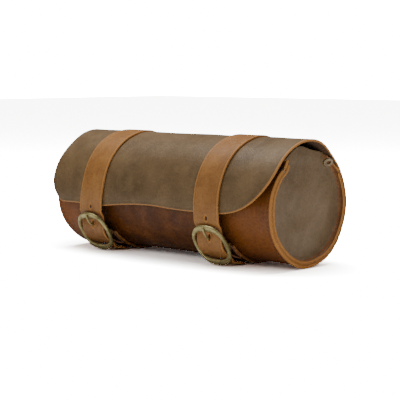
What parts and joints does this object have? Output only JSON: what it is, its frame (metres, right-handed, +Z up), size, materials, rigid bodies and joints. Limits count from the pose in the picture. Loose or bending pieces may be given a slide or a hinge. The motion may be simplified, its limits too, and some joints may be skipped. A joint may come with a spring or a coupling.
{
  "type": "leather roll case",
  "caption": "Barrel-shaped leather roll case for brushes and tools, with a wrap-over flap closed by buckled leather straps.",
  "frame": {"origin": "on the resting surface, at the middle of the case's footprint", "axes": "+X along the case to its right end seen from the front, -Y to the front where the flap and buckles are, +Z up"},
  "size_m": [0.306, 0.1336, 0.1298],
  "materials": {
    "hide": "waxed, mottled olive brown",
    "disc_hide": "waxed, with a grey bloom and light scratches",
    "strap_leather": "oiled orange brown",
    "buckle_metal": "antique brass"
  },
  "bodies": {
    "root": {"body_wrap": "hide", "end_disc_left": "disc_hide", "end_disc_right": "disc_hide", "seam_rivets": "buckle_metal", "lower_strap_left": "strap_leather", "lower_strap_right": "strap_leather", "lower_strap_rivets": "buckle_metal"},
    "flap": {"flap_panel": "hide", "strap_anchor_left": "strap_leather", "strap_anchor_right": "strap_leather", "strap_anchor_rivets": "buckle_metal"},
    "strap_left": {"strap_left": "strap_leather", "buckle_loop_left": "strap_leather"},
    "buckle_left": {"buckle_frame_left": "buckle_metal", "buckle_bar_left": "buckle_metal"},
    "prong_left": {"prong_left": "buckle_metal"},
    "strap_right": {"strap_right": "strap_leather", "buckle_loop_right": "strap_leather"},
    "buckle_right": {"buckle_frame_right": "buckle_metal", "buckle_bar_right": "buckle_metal"},
    "prong_right": {"prong_right": "buckle_metal"}
  },
  "joints": [
    {"name": "flap_open", "type": "hinge", "parent": "root", "child": "flap", "pos_m": [0, 0.03615, 0.11272], "axis": [-1, 0, 0], "range_deg": [0, 110]},
    {"name": "strap_lift_left", "type": "hinge", "parent": "flap", "child": "strap_left", "pos_m": [-0.0855, 0.02041, 0.12829], "axis": [-1, 0, 0], "range_deg": [0, 70]},
    {"name": "buckle_tilt_left", "type": "hinge", "parent": "strap_left", "child": "buckle_left", "pos_m": [-0.091, -0.04925, 0.02364], "axis": [1, 0, 0], "range_deg": [0, 3]},
    {"name": "prong_lift_left", "type": "hinge", "parent": "buckle_left", "child": "prong_left", "pos_m": [-0.091, -0.04925, 0.02364], "axis": [1, 0, 0], "range_deg": [0, 8]},
    {"name": "strap_lift_right", "type": "hinge", "parent": "flap", "child": "strap_right", "pos_m": [0.076, 0.02041, 0.12829], "axis": [-1, 0, 0], "range_deg": [0, 70]},
    {"name": "buckle_tilt_right", "type": "hinge", "parent": "strap_right", "child": "buckle_right", "pos_m": [0.076, -0.04925, 0.02364], "axis": [1, 0, 0], "range_deg": [0, 3]},
    {"name": "prong_lift_right", "type": "hinge", "parent": "buckle_right", "child": "prong_right", "pos_m": [0.076, -0.04925, 0.02364], "axis": [1, 0, 0], "range_deg": [0, 8]}
  ]
}
